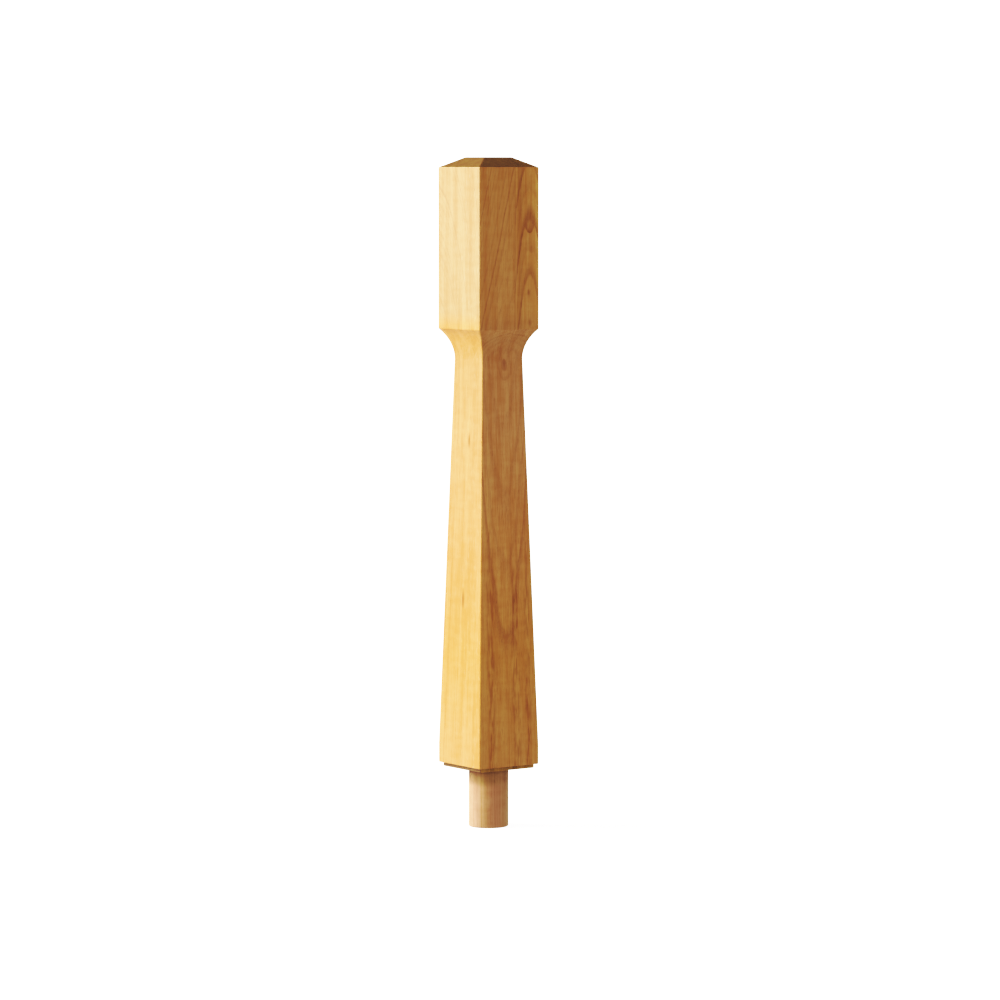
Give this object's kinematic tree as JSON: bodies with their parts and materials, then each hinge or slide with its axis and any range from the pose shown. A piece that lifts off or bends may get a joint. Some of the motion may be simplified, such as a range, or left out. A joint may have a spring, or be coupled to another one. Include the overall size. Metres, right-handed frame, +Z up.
{
  "type": "newel post",
  "caption": "Short square oak newel post with a weathered cap, a coved neck, a shaft tapering out to its foot, and a round peg underneath for a newel base.",
  "frame": {"origin": "centre of the spigot's lower end, which is the middle of the bottom of the bounding box", "axes": "+Z up along the post; the four faces look along +X, -X, +Y and -Y"},
  "size_m": [0.091, 0.091, 0.842],
  "materials": {
    "lacquered_oak": "satin lacquered oak, darker on the end grain of the cap",
    "bare_oak": "bare turned oak, paler than the lacquered body"
  },
  "bodies": {
    "root": {"newel_body": "lacquered_oak", "spigot": "bare_oak"}
  },
  "joints": []
}
